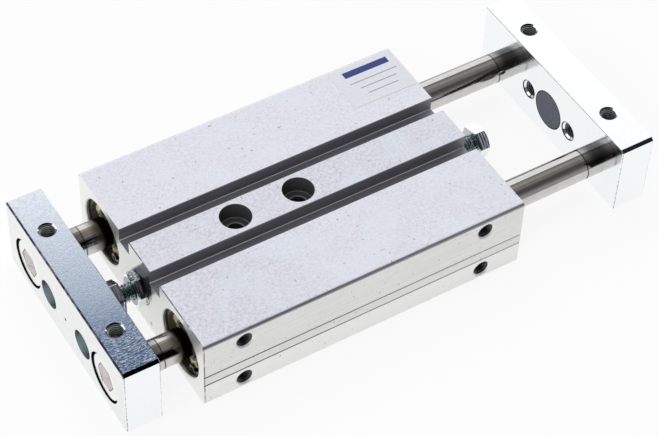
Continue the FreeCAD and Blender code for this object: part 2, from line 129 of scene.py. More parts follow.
class Value:
    """One output of a shader node; | gives the greater of two values and & the smaller."""

    __add__ = math_method("ADD")
    __sub__ = math_method("SUBTRACT")
    __rsub__ = math_method("SUBTRACT", swapped=True)
    __mul__ = math_method("MULTIPLY")
    __truediv__ = math_method("DIVIDE")
    __pow__ = math_method("POWER")
    __or__ = math_method("MAXIMUM")
    __and__ = math_method("MINIMUM")
    __abs__ = math_method("ABSOLUTE")
    sign = math_method("SIGN")
    sine = math_method("SINE")

    def __init__(self, shader, socket):
        self.shader = shader
        self.socket = socket

    def ramp(self, low, high, low_out=0.0, high_out=1.0, smooth=True):
        """Carries the value from one range to another, and holds it at both ends."""
        kind = "SMOOTHSTEP" if smooth else "LINEAR"
        values = (self, low, high, low_out, high_out)
        return self.shader.node("ShaderNodeMapRange", values, interpolation_type=kind)

    def below(self, low, high):
        """1 below the first bound, falling to 0 at the second."""
        return self.ramp(low, high, 1.0, 0.0)

    def within(self, low, high, edge):
        """1 between low and high, and 0 outside them, with soft edges."""
        return self.ramp(low - edge, low + edge) * self.below(high - edge, high + edge)

    def mix(self, first, second):
        """Colour that goes from the first to the second as this value goes from 0 to 1."""
        return self.shader.node("ShaderNodeMix", {0: self, 6: first, 7: second}, 2, data_type="RGBA")

    def blend(self, first, second):
        """Number that goes from the first to the second as this value goes from 0 to 1."""
        return self.shader.node("ShaderNodeMix", {0: self, 2: first, 3: second}, data_type="FLOAT")

    def scaled(self, scale):
        """Vector or colour multiplied part by part; it draws a texture out along an axis."""
        return self.shader.node("ShaderNodeVectorMath", (self, scale), operation="MULTIPLY")

    def noise(self, scale, detail=2.0, roughness=0.5, distortion=0.0):
        """Noise at this place."""
        inputs = {
            "Vector": self, "Scale": scale, "Detail": detail, "Roughness": roughness, "Distortion": distortion
        }
        return self.shader.node("ShaderNodeTexNoise", inputs)

    def bump(self, distance_mm, strength):
        """Normal of a surface with this height."""
        inputs = {"Height": self, "Distance": distance_mm * MM, "Strength": strength}
        return self.shader.node("ShaderNodeBump", inputs)

    def parts(self):
        """The three parts of this vector."""
        split = self.shader.node("ShaderNodeSeparateXYZ", (self,))
        return [Value(self.shader, socket) for socket in split.socket.node.outputs]


class Shader:
    """Node tree of one material or world."""

    def __init__(self, tree):
        self.tree = tree
        self.tree.nodes.clear()

    def link(self, value, socket):
        """Feeds a socket from a value, or sets it to a plain number, vector or colour."""
        if isinstance(value, Value):
            self.tree.links.new(value.socket, socket)
        elif socket.type == "RGBA":
            socket.default_value = (*value, 1.0)
        else:
            socket.default_value = value

    def node(self, kind, inputs=(), output=0, **settings):
        """Adds a node, feeds its inputs by number or by name, and gives back one of its outputs."""
        made = self.tree.nodes.new(kind)
        for name, setting in settings.items():
            setattr(made, name, setting)
        pairs = inputs.items() if isinstance(inputs, dict) else enumerate(inputs)
        for key, value in pairs:
            self.link(value, made.inputs[key])
        return Value(self, made.outputs[output])

    def finish(self, closure, kind="ShaderNodeOutputMaterial"):
        self.link(closure, self.tree.nodes.new(kind).inputs["Surface"])

    def coordinates(self):
        """Object coordinates in millimetres, and their three parts."""
        place = self.node("ShaderNodeTexCoord", output="Object").scaled((1 / MM, 1 / MM, 1 / MM))
        return [place] + place.parts()

    def normal(self):
        """The three parts of the surface's own normal, in the frame's axes at rest."""
        normal = self.node("ShaderNodeNewGeometry", output="True Normal")
        turn = {"vector_type": "NORMAL", "convert_from": "WORLD", "convert_to": "OBJECT"}
        return self.node("ShaderNodeVectorTransform", (normal,), **turn).parts()

    def surface(self, colour, metallic, roughness, normal):
        inputs = {"Base Color": colour, "Metallic": metallic, "Roughness": roughness, "Normal": normal}
        self.finish(self.node("ShaderNodeBsdfPrincipled", inputs))


def material(name):
    made = bpy.data.materials.new(name)
    made.use_nodes = True
    return made, Shader(made.node_tree)


def greatest(values):
    """The greatest of several values."""
    result, *others = values
    for value in others:
        result = result | value
    return result


def radius_from(first, second, first_centre, second_centre):
    """Distance of a point from an axis, in the plane of two of its coordinates."""
    return ((first - first_centre) ** 2.0 + (second - second_centre) ** 2.0) ** 0.5


def from_bore(y, z):
    """A point's two distances from the axis of its own bore, and its radius."""
    across = y - y.sign() * BORE_Y
    upward = z - bore_axis_height
    return across, upward, radius_from(across, upward, 0.0, 0.0)


def along_angle(across, upward, degrees):
    """How far a point lies out in one direction; the angle is from +Y towards +Z."""
    turn = math.radians(degrees)
    return across * math.cos(turn) + upward * math.sin(turn)


def on_front_half(x):
    return x.below(0.0, 1.0)


# Masks of the block

STAIN_STRETCH = (0.32, 0.5, 0.5)
SCRATCH_STRETCHES = ((1.9, 0.45, 1.9), (0.45, 1.9, 1.9), (1.3, 0.8, 0.8))
FACE_MARK_Y = -6.2
FACE_MARK_Z = 2.6
NUT_SHADOW_RING_RADII = (5.72, 6.08)
NUT_SHADE_SLOPE = 1.39
NUT_SHADE_EDGE = (23.2, 24.4)
NUT_SHADE_HEIGHTS = (12.5, 17.5)
SIDE_HOLE_REACH = 9.0


def handling_marks(place):
    """Sparse dark specks and short scratches in three directions."""
    mask = place.noise(1.5, 0.0).ramp(0.835, 0.87, 0.0, 0.55)
    for stretch in SCRATCH_STRETCHES:
        mask = mask | place.scaled(stretch).noise(1.0, 0.0).ramp(0.84, 0.87, 0.0, 0.65)
    return mask


def smudge_mask(place):
    """Soft cloudy stains, a few millimetres long."""
    return place.scaled(STAIN_STRETCH).noise(1.0, 5.0, 0.75, 0.6).ramp(0.54, 0.74, 0.0, 0.55)


def lit_share(x, y):
    """How much paler the top is on the left of the strip, and on the right towards the rear."""
    left = y.ramp(STRIP_HALF_WIDTH, STRIP_HALF_WIDTH + GROOVE_WIDTH, 0.0, 0.34)
    right = y.ramp(-STRIP_HALF_WIDTH, -STRIP_HALF_WIDTH - GROOVE_WIDTH, 0.0, 0.28)
    return left | right * x.ramp(-30.0, 15.0)


def nut_shadow_ring_and_smudge_mask(x, y, z):
    """On the block's front end: a dark ring of painted shadow round the right of the lock nut, and one small
    smudge.
    """
    on_face = x.below(block_low.x + 0.02, block_low.x + 0.05)
    from_axis = radius_from(y, z, 0.0, bore_axis_height)
    ring = from_axis.within(*NUT_SHADOW_RING_RADII, 0.06)
    smudge = radius_from(y, z, FACE_MARK_Y, FACE_MARK_Z).ramp(0.2, 1.1, 0.6, 0.0)
    return on_face * (ring * y.ramp(1.5, 0.0, 0.0, 0.9) | smudge)


def nut_shade_mask(x, y, z):
    """Dark mirror image beside the front lock nut, on the end of the middle strip."""
    on_face = x.below(block_low.x + 0.05, block_low.x + 0.1)
    right = y.ramp(-STRIP_HALF_WIDTH - 1.5, -STRIP_HALF_WIDTH - 0.5)
    left = (z + y * NUT_SHADE_SLOPE).below(*NUT_SHADE_EDGE)
    return on_face * left * right * z.ramp(*NUT_SHADE_HEIGHTS)


def front_edge_mask(place, x, y, z):
    """Broken dark line along the front edges of the right wall and of the top, but for its left side."""
    near_end = x.within(block_low.x + 0.04, block_low.x + 0.4, 0.04)
    not_left = y.below(STRIP_HALF_WIDTH, STRIP_HALF_WIDTH + 0.1)
    on_top = z.ramp(block_high.z - 0.06, block_high.z - 0.02) * not_left
    on_wall = y.below(block_low.y + 0.02, block_low.y + 0.06)
    # Noise breaks the dark line into pieces.
    line_breaks = place.noise(0.45).ramp(0.35, 0.55, 0.35, 0.9)
    return near_end * (on_top | on_wall) * line_breaks


def fixing_line_mask(x, y, z):
    """Thin light lines round the floor of each counterbore and round the hole in it."""
    distance = radius_from(abs(x), y, FIXING_HOLE_X, 0.0)
    outer = distance.within(FIXING_COUNTERBORE_RADIUS - 0.3, FIXING_COUNTERBORE_RADIUS + 0.1, 0.06)
    inner = distance.within(FIXING_HOLE_RADIUS - 0.1, FIXING_HOLE_RADIUS + 0.35, 0.06)
    floor = block_high.z - FIXING_COUNTERBORE_DEPTH
    return (outer | inner) * z.within(floor - 0.1, floor + 0.15, 0.05)


def side_line_mask(x, y, z):
    """The fine lines along the side walls, darkened as painted shade, deeper in tone towards the front."""
    half = SIDE_LINE_WIDTH / 2
    lines = greatest(z.within(height - half, height + half, 0.03) for height in SIDE_LINE_HEIGHTS)
    beside = abs(y).ramp(block_high.y - 0.5, block_high.y - 0.35)
    return lines * x.ramp(block_low.x, block_high.x, 0.95, 0.25, smooth=False) * beside


def edge_mask(y, z):
    """Painted dark reflection on the lower part of the rounded long edges at the top."""
    low = block_high.z - BLOCK_EDGE_RADIUS
    return abs(y).ramp(block_high.y - 0.75, block_high.y - 0.45) * z.ramp(low - 0.1, low + 0.15)


def corner_mask(y, z):
    """Painted highlight: a thin bright line where the left wall of each groove meets its floor."""
    right_groove = y.ramp(-STRIP_HALF_WIDTH - 0.3, -STRIP_HALF_WIDTH - 0.1) * y.below(0.0, 0.1)
    wall = STRIP_HALF_WIDTH + GROOVE_WIDTH
    left_groove = y.ramp(wall - 0.3, wall - 0.1)
    floor = block_high.z - GROOVE_DEPTH
    return (right_groove | left_groove) * z.below(floor + 0.1, floor + 0.35)


def groove_mask(y, z):
    """The inside of both sensor grooves."""
    across = abs(y).within(STRIP_HALF_WIDTH - 0.03, STRIP_HALF_WIDTH + GROOVE_WIDTH + 0.03, 0.02)
    floor = block_high.z - GROOVE_DEPTH
    return across * z.below(block_high.z - 0.12, block_high.z - 0.04) * z.ramp(floor - 0.1, floor - 0.05)


def hole_mask(x, y, z):
    """The walls of the fixing holes and of the side threads."""
    fixing = radius_from(abs(x), y, FIXING_HOLE_X, 0.0)
    inside = fixing.below(FIXING_COUNTERBORE_RADIUS + 0.02, FIXING_COUNTERBORE_RADIUS + 0.05)
    mask = inside * z.below(block_high.z - 0.1, block_high.z - 0.02)
    beside = y.within(block_low.y + 0.4, block_low.y + SIDE_HOLE_REACH, 0.1)
    for height in (PORT_HEIGHT, SIDE_FIXING_HEIGHT):
        distance = radius_from(abs(x - block_middle_x), z, block_half_length - SIDE_HOLE_INSET, height)
        mask = mask | distance.below(M5_RADIUS + 0.1, M5_RADIUS + 0.2) * beside
    return mask


def seat_masks(x, y, z):
    """The turned seats of the end caps and their rings, and the bright band at their mouths."""
    distance = radius_from(abs(y), z, BORE_Y, bore_axis_height)
    depth = block_half_length - abs(x - block_middle_x)
    seat = distance.below(BORE_SEAT_RADIUS + 0.55, BORE_SEAT_RADIUS + 0.6) * depth.ramp(0.25, 0.35)
    return seat, depth.within(0.4, 0.85, 0.08)


# Materials

ALUMINIUM = (0.80, 0.802, 0.866)
ALUMINIUM_SHADE = (0.585, 0.583, 0.65)
WALL_ALUMINIUM = (0.89, 0.89, 0.875)
WALL_SHADE = (0.80, 0.80, 0.785)
GROOVE_LIGHT = (0.2225, 0.21875, 0.25)
GROOVE_SHADE = (0.1424, 0.14, 0.16)
FACE_ALUMINIUM = (0.93, 0.935, 0.90)
DRAWN_STRETCH = (0.05, 2.6, 2.6)
GROOVE_END_LIGHT_REACH = 7.0


def housing_material():
    """Clear anodised extrusion: smudged top, drawn side walls, bright sawn ends, grooves and holes darkened
    with painted shade, and painted shade, shadow, reflections and highlights at the lock nut, the edges and
    the lines.
    """
    made, shader = material("clear_anodised_block")
    place, x, y, z = shader.coordinates()
    normal_x, _, normal_z = shader.normal()
    speckle = place.noise(2.4, 3.0, 0.7)
    drawn = place.scaled(DRAWN_STRETCH).noise(1.0)
    smudges = smudge_mask(place)
    specks = handling_marks(place)

    top = place.noise(1.0, 4.0, 0.75, 0.4).ramp(0.36, 0.62).mix(ALUMINIUM_SHADE, ALUMINIUM)
    top = speckle.ramp(0.45, 0.75, 0.0, 0.5).mix(top, (0.80, 0.80, 0.85))
    top = place.noise(0.12).ramp(0.35, 0.7, 0.0, 0.35).mix(top, (0.74, 0.74, 0.79))
    top = place.noise(0.07, 1.0).ramp(0.45, 0.65, 0.0, 0.5).mix(top, (0.745, 0.80, 0.87))
    top = smudges.mix(top, (0.58, 0.58, 0.65))
    top = lit_share(x, y).mix(top, (0.9, 0.9, 0.96))
    top = specks.mix(top, (0.2, 0.2, 0.26))

    wall = drawn.ramp(0.2, 0.8).mix(WALL_SHADE, WALL_ALUMINIUM)
    wall = (smudges * 0.5).mix(wall, (0.55, 0.55, 0.54))
    # Painted highlight: the wall is paler below the lower side line.
    lower_line = SIDE_LINE_HEIGHTS[0]
    wall = z.ramp(lower_line, lower_line - 0.4, 0.0, 0.9).mix(wall, (0.99, 0.99, 0.985))
    wall = specks.mix(wall, (0.3, 0.3, 0.3))
    colour = abs(normal_z).below(0.3, 0.7).mix(top, wall)
    colour = side_line_mask(x, y, z).mix(colour, (0.05, 0.05, 0.055))

    end_face = abs(normal_x).ramp(0.6, 0.8)
    colour = end_face.mix(colour, FACE_ALUMINIUM)
    colour = nut_shade_mask(x, y, z).mix(colour, (0.12, 0.12, 0.14))
    colour = nut_shadow_ring_and_smudge_mask(x, y, z).mix(colour, (0.02, 0.025, 0.03))
    colour = front_edge_mask(place, x, y, z).mix(colour, (0.06, 0.06, 0.075))
    rounding = edge_mask(y, z)
    colour = rounding.mix(colour, (0.34, 0.34, 0.375))

    hole = hole_mask(x, y, z)
    sunk = groove_mask(y, z) | hole
    # Painted shade: the walls and floors of the grooves and holes are dark.
    inside = drawn.ramp(0.2, 0.8).mix(GROOVE_SHADE, GROOVE_LIGHT)
    # Painted light: the walls of the grooves and holes are paler towards their top edge.
    lip_light = z.ramp(block_high.z - 0.9, block_high.z - 0.05, 0.0, 0.8)
    inside = lip_light.mix(inside, (0.42, 0.42, 0.45))
    inside = corner_mask(y, z).mix(inside, (0.75, 0.75, 0.78))
    # Painted light: the grooves are paler towards their open rear end.
    rear_end_light = x.ramp(block_high.x - GROOVE_END_LIGHT_REACH, block_high.x, 0.0, 0.35)
    inside = rear_end_light.mix(inside, (0.5, 0.5, 0.53))
    # Painted shade: darker still on the walls of the holes.
    inside = hole.mix(inside, (0.085, 0.085, 0.092))
    inside = fixing_line_mask(x, y, z).mix(inside, (0.33, 0.33, 0.32))
    colour = sunk.mix(colour, inside)
    # Painted shade in the turned seats, but for a bright band at their mouths.
    seat, mouth_band = seat_masks(x, y, z)
    colour = seat.mix(colour, mouth_band.mix((0.1, 0.1, 0.085), (0.8, 0.8, 0.74)))

    metallic = end_face.blend(0.35, 0.75)
    rough = end_face.blend(speckle.ramp(0.3, 0.7, 0.42, 0.56), 0.34)
    for mask, metal, dullness in ((rounding, 0.7, 0.3), (sunk, 0.25, 0.42), (seat, 0.8, 0.25)):
        metallic = mask.blend(metallic, metal)
        rough = mask.blend(rough, dullness)
    shader.surface(colour, metallic, rough, (speckle + drawn * 0.5).bump(0.03, 0.5))
    return made


LOAD_BORE_SHADE_ANGLE = 37.0
FACE_RIM_RADII = (3.05, 3.4)
SCREW_SEAT_EDGE = 0.2
YOKE_EDGE_LINE = {"front": 0.62, "rear": 0.1}
CUTTER_RADIUS = 22.0
CUTTER_FEED = 0.8


def load_bore_mask(x, y, z):
    """The dull walls and floors of the smooth bores in the outer faces of the yokes."""
    distance = radius_from(abs(y), z, LOAD_FACE_HALF_SPACING, bore_axis_height)
    inside = distance.below(LOAD_BORE_RADIUS + 0.02, LOAD_BORE_RADIUS + 0.06)
    front = x.within(front_low.x + 0.12, front_low.x + LOAD_BORE_DEPTH + 0.1, 0.04)
    rear = x.within(rear_high.x - LOAD_BORE_DEPTH - 0.1, rear_high.x - 0.12, 0.04)
    return inside * (front | rear)


def load_bore_colour(y, z):
    """Blue-grey, with painted shade towards the upper left and the lower right of each smooth bore."""
    across = y - y.sign() * LOAD_FACE_HALF_SPACING
    reach = along_angle(across, z - bore_axis_height, LOAD_BORE_SHADE_ANGLE)
    pale = reach.ramp(-4.4, -0.8) * reach.ramp(4.4, 1.6)
    return pale.mix((0.1, 0.13, 0.13), (0.36, 0.46, 0.5))


def cutter_marks(place, x, y):
    """Arcs left by a face mill that was fed along Y."""
    front_middle, rear_middle = ((low.x + high.x) / 2 for low, high in yokes.values())
    across = abs(x - front_middle) & abs(x - rear_middle)
    sag = across ** 2.0 / (2 * CUTTER_RADIUS)
    wander = place.scaled((0.25, 0.8, 0.25)).noise(1.0, 3.0)
    along = y - sag + wander * 2.5
    return (along * (2 * math.pi / CUTTER_FEED)).sine() * 0.42


def cutter_depth(place, x, y):
    """How deep the cutter's marks are: strongest at the right-hand end of the front yoke's top."""
    strong = y.ramp(-17.0, -30.0) * place.noise(0.35, 3.0, 0.6).ramp(0.3, 0.6, 0.35, 1.0)
    faint = y.within(6.0, 17.0, 4.0) * 0.1
    return (strong + faint) * on_front_half(x) + 0.02


def film_and_reflection_mask(place, y, marks):
    """Dark blue between the cutter's marks, deeper towards the right: partly blue film, partly painted dark
    reflection.
    """
    dashes = place.scaled((1.1, 2.5, 1.0)).noise(1.0, 3.0, 0.75)
    return y.ramp(-4.0, -33.0) * (dashes + marks * 0.1).ramp(0.47, 0.56, 0.95, 0.0)


def face_rim_mask(x, y, z):
    """Dark rim round the threaded holes in the inner faces of the yokes."""
    distance = radius_from(abs(y), z, LOAD_FACE_HALF_SPACING, bore_axis_height)
    return distance.within(*FACE_RIM_RADII, 0.05) * x.within(front_high.x - 0.4, rear_low.x + 0.4, 0.02)


def yoke_edge_mask(place, x, y, z):
    """Painted dark reflection along the front top edge of both yokes and down the edges of their right-hand
    ends.
    """
    top_edges = greatest(
        x.within(low.x - 0.1, low.x + YOKE_EDGE_LINE[end], 0.06) for end, (low, high) in yokes.items()
    )
    end_edges = greatest(
        x.within(low.x - 0.1, low.x + 0.5, 0.06) | x.within(high.x - 0.35, high.x + 0.1, 0.06)
        for low, high in yokes.values()
    )
    on_top = z.ramp(rear_high.z - 0.32, rear_high.z - 0.26)
    top_line_strength = place.noise(0.5).ramp(0.3, 0.6, 0.8, 1.0)
    on_end = y.below(rear_low.y + 0.02, rear_low.y + 0.06)
    end_line_strength = place.noise(0.9).ramp(0.42, 0.58, 0.15, 0.75)
    return top_edges * on_top * top_line_strength | end_edges * on_end * end_line_strength


def screw_seat_mask(x, y, z):
    """The walls of the counterbores that hold the yokes' screws, where painted shade goes."""
    distance = radius_from(abs(y), z, BORE_Y, bore_axis_height)
    inside = distance.below(SCREW_SEAT_RADIUS, SCREW_SEAT_RADIUS + 0.05)
    sunk = x.within(front_low.x + SCREW_SEAT_EDGE, rear_high.x - SCREW_SEAT_EDGE, 0.05)
    between_yokes = x.within(front_high.x - 0.1, rear_low.x + 0.1, 0.02)
    return inside * sunk * (1.0 - between_yokes)


def zinc_plate_material():
    """Bright zinc on milled steel: fine cloudy blue tints, cutter marks near the front yoke's right end,
    painted dark reflections there, on corners and along edges, and painted shade in the bores and screw
    seats.
    """
    made, shader = material("zinc_plated_yoke")
    place, x, y, z = shader.coordinates()
    _, normal_y, normal_z = shader.normal()
    mottle = place.noise(0.9, 4.0, 0.75)
    marks = cutter_marks(place, x, y)
    worked = cutter_depth(place, x, y)
    front_top = z.ramp(front_high.z - 0.3, front_high.z - 0.1) * on_front_half(x)

    colour = place.noise(0.08, 3.0, 0.6).ramp(0.3, 0.7).mix((0.93, 0.955, 0.965), (0.95, 0.965, 0.96))
    mottled = mottle.ramp(0.4, 0.7, 0.0, 0.3) + place.noise(2.0, 3.0, 0.75).ramp(0.42, 0.62, 0.0, 0.35)
    colour = (mottled * (front_top * 1.2 + 0.2)).mix(colour, (0.70, 0.77, 0.88))
    colour = (front_top * film_and_reflection_mask(place, y, marks)).mix(colour, (0.19, 0.27, 0.43))
    between_faces = x.within(front_low.x + 0.05, rear_high.x - 0.05, 0.02)
    streaks = place.scaled((1.0, 0.35, 1.6)).noise(1.0, 3.0, 0.6).ramp(0.3, 0.7, 0.3, 0.8)
    colour = ((1.0 - between_faces) * streaks).mix(colour, (0.74, 0.745, 0.735))
    # Painted dark reflection on the cut corners that face up and to the right.
    cut_corner = normal_z.within(0.5, 0.9, 0.05) * normal_y.ramp(-0.4, -0.5)
    colour = cut_corner.mix(colour, (0.1, 0.1, 0.13))
    edges = yoke_edge_mask(place, x, y, z) | face_rim_mask(x, y, z)
    colour = edges.mix(colour, (0.03, 0.03, 0.05))
    bore = load_bore_mask(x, y, z)
    colour = bore.mix(colour, load_bore_colour(y, z))
    colour = screw_seat_mask(x, y, z).mix(colour, (0.03, 0.03, 0.035))

    rough = bore.blend(mottle.ramp(0.3, 0.7, 0.08, 0.16), 0.35)
    height = marks * worked + place.noise(2.4, 3.0, 0.7) * (worked * 0.9 + 0.8) + mottle * 0.9
    shader.surface(colour, bore.blend(1.0, 0.3), rough, height.bump(0.012, 0.8))
    return made


ROD_LINE_INSET = 5.5
ROD_LINE_WIDTH = 0.4
ROD_SPOT_REACH = (0.75, 0.35)


def rod_shade_mask(x, normal_y, normal_z):
    """Dark ring lines at the seams, and painted dark reflections: a spot, the upper side beyond the lines, a
    band on the near side at the front and the far edge.
    """
    front_x = front_high.x + ROD_LINE_INSET
    rear_x = rear_low.x - ROD_LINE_INSET
    reach = ROD_LINE_WIDTH / 2 + 0.03
    lines = greatest(x.within(middle - reach, middle + reach, 0.03) for middle in (front_x, rear_x))
    beyond_front = x.ramp(front_x, front_x - 5.0, 0.35, 0.8) * x.below(front_x - 0.3, front_x - 0.2)
    beyond_rear = x.ramp(rear_x + 0.5, rear_x + 4.0, 0.5, 1.0) * x.ramp(rear_x + 0.2, rear_x + 0.3)
    beyond = (beyond_front | beyond_rear) * normal_z.ramp(0.5, 0.64, 0.0, 0.9)
    near_side = normal_y.ramp(0.0, -0.1)
    band = normal_z.within(0.44, 0.75, 0.05) * on_front_half(x) * near_side
    before, behind = ROD_SPOT_REACH
    spot = x.within(rear_x - before, rear_x + behind, 0.15) * normal_z.within(-0.62, -0.36, 0.05) * near_side
    far_edge = normal_y.ramp(0.44, 0.56, 0.0, 0.9)
    return lines * 0.75 | spot | beyond | band * 0.8 | far_edge


def chrome_material():
    """Hard chromed and ground rod, with faint streaks along it, a warm painted reflection tint along its top,
    and a painted dark brown reflection of the seal near the block.
    """
    made, shader = material("ground_chrome")
    place, x, _, _ = shader.coordinates()
    _, normal_y, normal_z = shader.normal()
    rings = place.scaled((4.0, 0.15, 0.15)).noise(1.0)
    streaks = place.scaled((0.06, 2.2, 2.2)).noise(1.0, 3.0)
    colour = place.noise(0.35).ramp(0.3, 0.7).mix((0.57, 0.56, 0.54), (0.63, 0.62, 0.60))
    colour = streaks.ramp(0.45, 0.7, 0.0, 0.4).mix(colour, (0.44, 0.43, 0.42))
    # Painted reflection: a warm tint along the top of each rod.
    along_top = normal_y.within(-0.13, 0.01, 0.02) * normal_z.ramp(0.9, 0.95)
    colour = along_top.mix(colour, (0.78, 0.62, 0.45))
    colour = rod_shade_mask(x, normal_y, normal_z).mix(colour, (0.05, 0.05, 0.052))
    # Painted reflection: dark brown on the rods near the block's front end, the seal mirrored in them.
    film = x.within(block_low.x - 3.8, block_low.x + 2.0, 2.0)
    colour = (film * 0.9).mix(colour, (0.05, 0.04, 0.025))
    shader.surface(colour, 1.0, rings.ramp(0.3, 0.7, 0.07, 0.13), (rings * 0.6 + streaks).bump(0.006, 0.6))
    return made


TURNED_STRETCH = (3.0, 0.2, 0.2)


def metal_material(name, colour, shade, roughness, grain=1.5, stretch=(1.0, 1.0, 1.0)):
    """Plain metal whose colour and roughness wander a little, with fine marks."""
    made, shader = material(name)
    tone = shader.coordinates()[0].scaled(stretch).noise(grain, 3.0, 0.6)
    colour = tone.ramp(0.35, 0.65).mix(shade, colour)
    shader.surface(colour, 1.0, tone.ramp(0.3, 0.7, *roughness), tone.bump(0.01, 0.6))
    return made


BRASS_FANS = (22.0, -118.0)
BRASS_FAN_RADII = (6.9, 8.9)
BRASS_RING_SPACING = 0.55


def brass_material():
    """Turned brass: two fans of painted highlight on a face painted dark."""
    made, shader = material("turned_brass")
    place, _, y, z = shader.coordinates()
    across, upward, distance = from_bore(y, z)
    fans = greatest(
        (along_angle(across, upward, degrees) / distance).ramp(0.94, 0.975) for degrees in BRASS_FANS
    )
    fans = fans * distance.within(*BRASS_FAN_RADII, 0.15)
    tone = place.scaled(TURNED_STRETCH).noise(1.0, 3.0, 0.6)
    rings = (distance * (2 * math.pi / BRASS_RING_SPACING)).sine()
    dark = rings.ramp(-0.4, 0.6).mix((0.1, 0.07, 0.03), (0.36, 0.26, 0.1))
    bright = tone.ramp(0.35, 0.65).mix((1.0, 0.76, 0.28), (1.0, 0.92, 0.55))
    shader.surface(fans.mix(dark, bright), fans.blend(1.0, 0.1), fans.blend(0.14, 0.35), tone.bump(0.01, 0.6))
    return made


SCREW_GAP_ANGLE = -35.0
SCREW_GAP_SHIFT = 0.75
SCREW_FACE_DEPTH = 0.4
SOCKET_DIRECTIONS = (30.0, 90.0, 150.0)


def screw_material():
    """Bright flat head, with a crescent of painted shadow on one side of its rim and a broken line of painted
    shade round its socket.
    """
    made, shader = material("bright_screw_steel")
    place, x, y, z = shader.coordinates()
    across, upward, _ = from_bore(y, z)
    tone = place.noise(0.8, 3.0, 0.6)
    turn = math.radians(SCREW_GAP_ANGLE)
    shift = (-SCREW_GAP_SHIFT * math.cos(turn), -SCREW_GAP_SHIFT * math.sin(turn))
    crescent = radius_from(across, upward, *shift).ramp(SCREW_HEAD_RADIUS - 0.35, SCREW_HEAD_RADIUS - 0.25)
    hexagon = greatest(abs(along_angle(across, upward, degrees)) for degrees in SOCKET_DIRECTIONS)
    half = SCREW_SOCKET_WIDTH / 2
    broken = place.noise(0.3, 1.0).ramp(0.4, 0.52, 0.3, 1.0) | across.ramp(-1.0, -2.0)
    below_face = SCREW_FACE_DEPTH + 0.15
    on_face = 1.0 - x.within(front_low.x + below_face, rear_high.x - below_face, 0.03)
    outline = hexagon.within(half - 0.1, half + 0.35, 0.05) * broken * on_face
    inside = hexagon.below(half + 0.02, half + 0.05)
    colour = tone.ramp(0.35, 0.65).mix((0.86, 0.85, 0.83), (0.95, 0.945, 0.93))
    colour = inside.mix(colour, (0.74, 0.7, 0.7))
    colour = outline.mix(colour, (0.08, 0.08, 0.08))
    colour = crescent.mix(colour, (0.01, 0.01, 0.01))
    metallic = crescent.blend(inside.blend(1.0, 0.0), 0.0)
    rough = crescent.blend(tone.ramp(0.3, 0.7, 0.16, 0.26), 0.6)
    shader.surface(colour, metallic, rough, tone.bump(0.01, 0.6))
    return made


STOP_THREAD_CREST = 2.94
STOP_THREAD_ROOT = 2.42
STRIPE_SPACING = 0.95


def fastener_material():
    """Zinc-plated hexagons and threads, painted by the way each face turns: dark side flats as painted
    reflection, paler tops as painted light, painted highlights on the outer chamfers, painted shadow on the
    inner ones, dull threads.
    """
    made, shader = material("zinc_plated_fastener")
    place, x, y, z = shader.coordinates()
    normal_x, normal_y, normal_z = shader.normal()
    outward = normal_x * x.sign()
    rear = x.ramp(-1.0, 1.0)
    drawn = place.scaled((1.9, 0.25, 0.25)).noise(1.0, 1.0)
    grains = place.noise(1.7, 3.0, 0.75)

    # Painted dark reflection: the side flats are dark, darkest where they face right on the front screw and
    # nut; light stripes run over them.
    turned_down = normal_y.ramp(-0.5, -0.68) * (1.0 - rear)
    side = turned_down.mix((0.26, 0.265, 0.33), (0.07, 0.07, 0.09))
    wave = ((x + drawn * 0.5) * (2 * math.pi / STRIPE_SPACING)).sine()
    stripes = drawn.ramp(0.53, 0.6, 0.0, 0.6) | wave.ramp(0.0, 0.5, 0.0, 0.85) * rear
    side = stripes.mix(side, (0.72, 0.73, 0.84))
    # Painted shadow: a black band on the rear head's side flats next to its underside.
    shoulder = box_mm("stop_screw_rear")[1].x - STOP_HEAD_HEIGHT - 0.05
    side = x.within(shoulder, shoulder + 0.45, 0.05).mix(side, (0.01, 0.01, 0.012))
    # Painted light: the flats that face up are paler, nearly white at the rear, and faces turned down take a
    # pale painted reflection of the floor.
    top = grains.ramp(0.48, 0.62).mix((0.2, 0.235, 0.26), (0.9, 0.95, 0.96))
    top = rear.mix(top, (0.93, 0.97, 0.98))
    top = normal_z.ramp(-0.05, -0.15).mix(top, (0.85, 0.9, 0.88))
    facing_side = (normal_y.ramp(-0.15, -0.3) | normal_y.ramp(0.42, 0.5)) * normal_z.ramp(-0.15, -0.05)
    colour = facing_side.mix(top, side)

    # Painted highlights on the outer chamfers and painted shadow on the inner ones; the outer end faces are
    # darker and the inner ones paler, as painted reflections.
    colour = outward.within(0.3, 0.95, 0.04).mix(colour, (0.93, 0.96, 0.97))
    colour = outward.ramp(0.95, 0.98).mix(colour, (0.3, 0.32, 0.36))
    colour = outward.within(-0.95, -0.3, 0.04).mix(colour, (0.01, 0.01, 0.012))
    colour = outward.ramp(-0.95, -0.98).mix(colour, (0.6, 0.68, 0.69))

    distance = radius_from(y, z, 0.0, bore_axis_height)
    thread = distance.below(STOP_THREAD_CREST + 0.05, STOP_THREAD_CREST + 0.1)
    colour = thread.mix(colour, grains.ramp(0.45, 0.62).mix((0.13, 0.19, 0.21), (0.6, 0.68, 0.7)))
    metallic = 1.0 - stripes * facing_side * rear * 0.7
    shader.surface(colour, metallic, grains.ramp(0.3, 0.7, 0.13, 0.24), grains.bump(0.012, 0.6))
    return made


def grey(value, tint=(1.0, 1.0, 1.0)):
    return tuple(value * part for part in tint)


